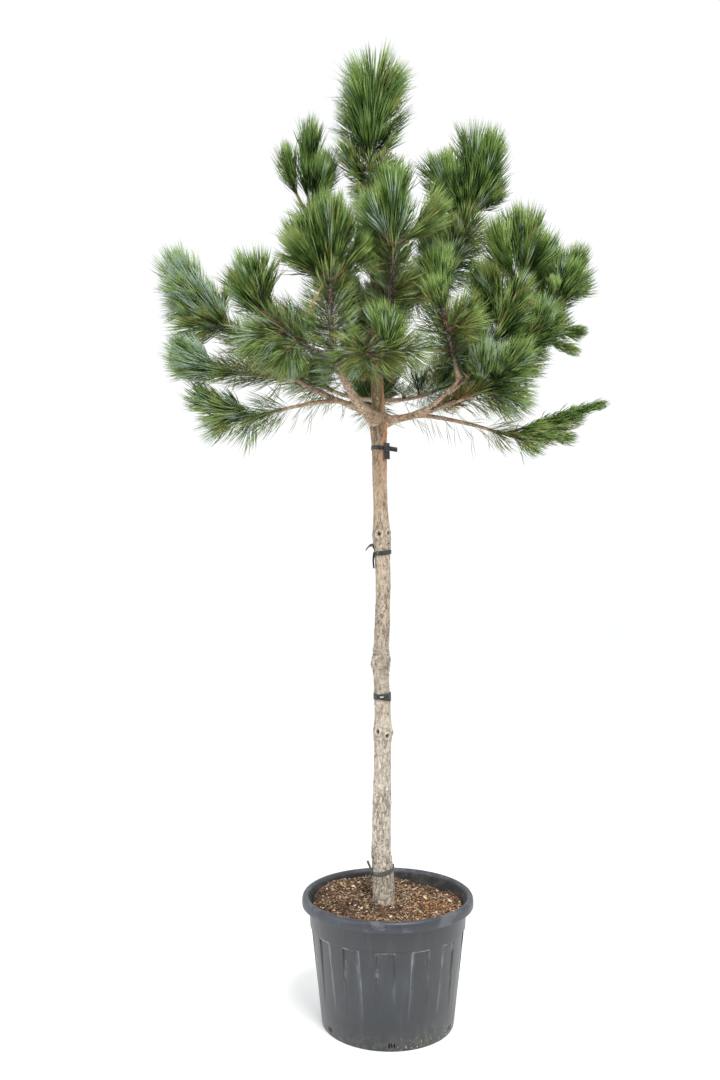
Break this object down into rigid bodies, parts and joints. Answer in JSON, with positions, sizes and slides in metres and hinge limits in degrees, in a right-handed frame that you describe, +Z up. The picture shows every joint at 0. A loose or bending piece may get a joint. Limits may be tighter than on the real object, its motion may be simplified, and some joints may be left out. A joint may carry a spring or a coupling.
{
  "type": "potted austrian pine",
  "caption": "Standard austrian pine with a bare trunk and an open crown of long needle brushes, growing in a fluted grey nursery pot of bark mulch.",
  "frame": {"origin": "centre of the pot's flat underside", "axes": "+Z up along the tree, -Y towards the front that the picture shows, +X to its right"},
  "size_m": [1.6508, 1.2248, 3.5158],
  "materials": {
    "pot_plastic": "moulded slate grey, dusty and scuffed",
    "mulch": "coarse damp bark chips",
    "trunk_bark": "flaking tan bark",
    "bough_bark": "scaly reddish tan bark",
    "needles": "long stiff needles, slightly glossy",
    "tie_rubber": "black, matte"
  },
  "bodies": {
    "root": {"pot": "pot_plastic", "soil": "mulch", "trunk": "trunk_bark", "tie_top": "tie_rubber", "tie_upper": "tie_rubber", "tie_lower": "tie_rubber", "tie_foot": "tie_rubber", "bough_left_front": "bough_bark", "bough_left": "bough_bark", "bough_left_low": "bough_bark", "bough_left_outer": "bough_bark", "bough_front_outer": "bough_bark", "bough_front_inner": "bough_bark", "bough_right": "bough_bark", "bough_right_low": "bough_bark", "bough_right_fork": "bough_bark", "bough_right_front": "bough_bark", "bough_right_up": "bough_bark", "bough_right_outer": "bough_bark", "bough_right_edge": "bough_bark", "bough_back_left": "bough_bark", "bough_back_right": "bough_bark", "bough_back": "bough_bark", "upper_left": "bough_bark", "upper_right": "bough_bark", "upper_front": "bough_bark", "upper_side": "bough_bark", "upper_back_left": "bough_bark", "upper_back_right": "bough_bark", "foliage_leader": "needles", "foliage_top_left": "needles", "foliage_top_right": "needles", "foliage_front": "needles", "foliage_left_front": "needles", "foliage_front_outer": "needles", "foliage_left": "needles", "foliage_left_outer": "needles", "foliage_left_low": "needles", "foliage_front_inner": "needles", "foliage_right": "needles", "foliage_right_low": "needles", "foliage_right_front": "needles", "foliage_right_up": "needles", "foliage_right_outer": "needles", "foliage_right_edge": "needles", "foliage_side": "needles", "foliage_back_left": "needles", "foliage_back_right": "needles", "foliage_back": "needles", "foliage_upper_back_left": "needles", "foliage_upper_back_right": "needles", "foliage_collar_left": "needles", "foliage_collar_back": "needles", "foliage_collar_front": "needles", "foliage_inner_right": "needles", "foliage_inner_front": "needles", "foliage_inner_back": "needles"}
  },
  "joints": []
}
